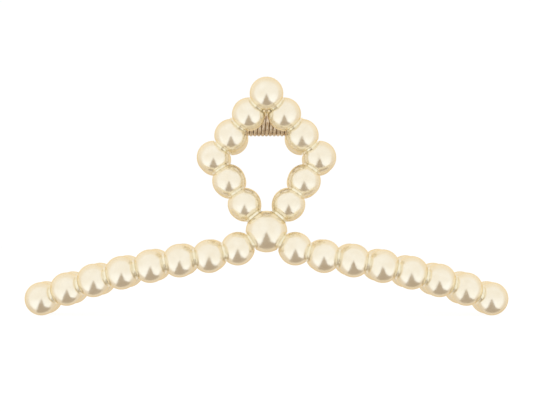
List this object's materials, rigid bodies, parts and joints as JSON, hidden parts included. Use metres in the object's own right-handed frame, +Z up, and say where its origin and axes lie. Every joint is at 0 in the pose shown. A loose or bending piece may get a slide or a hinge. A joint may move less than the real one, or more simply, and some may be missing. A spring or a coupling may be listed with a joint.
{
  "type": "claw clip",
  "caption": "Sprung hair claw clip: two mirrored halves of pearl beads on moulded frames, each a diamond handle loop above a long bowed jaw, hinged on a pin with a torsion spring.",
  "frame": {"origin": "middle of the ground between the four end pearls of the closed jaws, at the lowest point of the clip", "axes": "+X along the jaws to the right as seen from the front, +Y from the front half to the rear half, +Z up from the jaw tips to the handle"},
  "size_m": [0.1264, 0.0346, 0.0619],
  "materials": {
    "pearl": "glossy pearl coat, champagne ivory",
    "frame": "glossy golden cream plastic, bare between the pearls",
    "spring": "drawn spring wire with a brownish oil tint",
    "pin": "plain drawn steel with riveted heads"
  },
  "bodies": {
    "front_half": {"front_frame": "frame", "hinge_pin": "pin", "torsion_spring": "spring", "front_crown_pearl": "pearl", "front_top_pearl": "pearl", "front_handle_pearl_left_1": "pearl", "front_handle_pearl_left_2": "pearl", "front_handle_pearl_left_3": "pearl", "front_handle_pearl_left_4": "pearl", "front_handle_pearl_left_5": "pearl", "front_handle_pearl_right_1": "pearl", "front_handle_pearl_right_2": "pearl", "front_handle_pearl_right_3": "pearl", "front_handle_pearl_right_4": "pearl", "front_handle_pearl_right_5": "pearl", "front_arm_pearl_left_1": "pearl", "front_arm_pearl_left_2": "pearl", "front_arm_pearl_left_3": "pearl", "front_arm_pearl_left_4": "pearl", "front_arm_pearl_left_5": "pearl", "front_arm_pearl_left_6": "pearl", "front_arm_pearl_left_7": "pearl", "front_arm_pearl_left_8": "pearl", "front_arm_pearl_right_1": "pearl", "front_arm_pearl_right_2": "pearl", "front_arm_pearl_right_3": "pearl", "front_arm_pearl_right_4": "pearl", "front_arm_pearl_right_5": "pearl", "front_arm_pearl_right_6": "pearl", "front_arm_pearl_right_7": "pearl", "front_arm_pearl_right_8": "pearl"},
    "rear_half": {"rear_frame": "frame", "rear_crown_pearl": "pearl", "rear_top_pearl": "pearl", "rear_handle_pearl_left_1": "pearl", "rear_handle_pearl_left_2": "pearl", "rear_handle_pearl_left_3": "pearl", "rear_handle_pearl_left_4": "pearl", "rear_handle_pearl_left_5": "pearl", "rear_handle_pearl_right_1": "pearl", "rear_handle_pearl_right_2": "pearl", "rear_handle_pearl_right_3": "pearl", "rear_handle_pearl_right_4": "pearl", "rear_handle_pearl_right_5": "pearl", "rear_arm_pearl_left_1": "pearl", "rear_arm_pearl_left_2": "pearl", "rear_arm_pearl_left_3": "pearl", "rear_arm_pearl_left_4": "pearl", "rear_arm_pearl_left_5": "pearl", "rear_arm_pearl_left_6": "pearl", "rear_arm_pearl_left_7": "pearl", "rear_arm_pearl_left_8": "pearl", "rear_arm_pearl_right_1": "pearl", "rear_arm_pearl_right_2": "pearl", "rear_arm_pearl_right_3": "pearl", "rear_arm_pearl_right_4": "pearl", "rear_arm_pearl_right_5": "pearl", "rear_arm_pearl_right_6": "pearl", "rear_arm_pearl_right_7": "pearl", "rear_arm_pearl_right_8": "pearl"}
  },
  "joints": [
    {"name": "jaw_hinge", "type": "hinge", "parent": "front_half", "child": "rear_half", "pos_m": [0, 0, 0.05], "axis": [1, 0, 0], "range_deg": [0, 50], "stiffness_Nm_per_rad": 0.1, "springref_deg": -34.38, "deforming": ["torsion_spring"]}
  ]
}
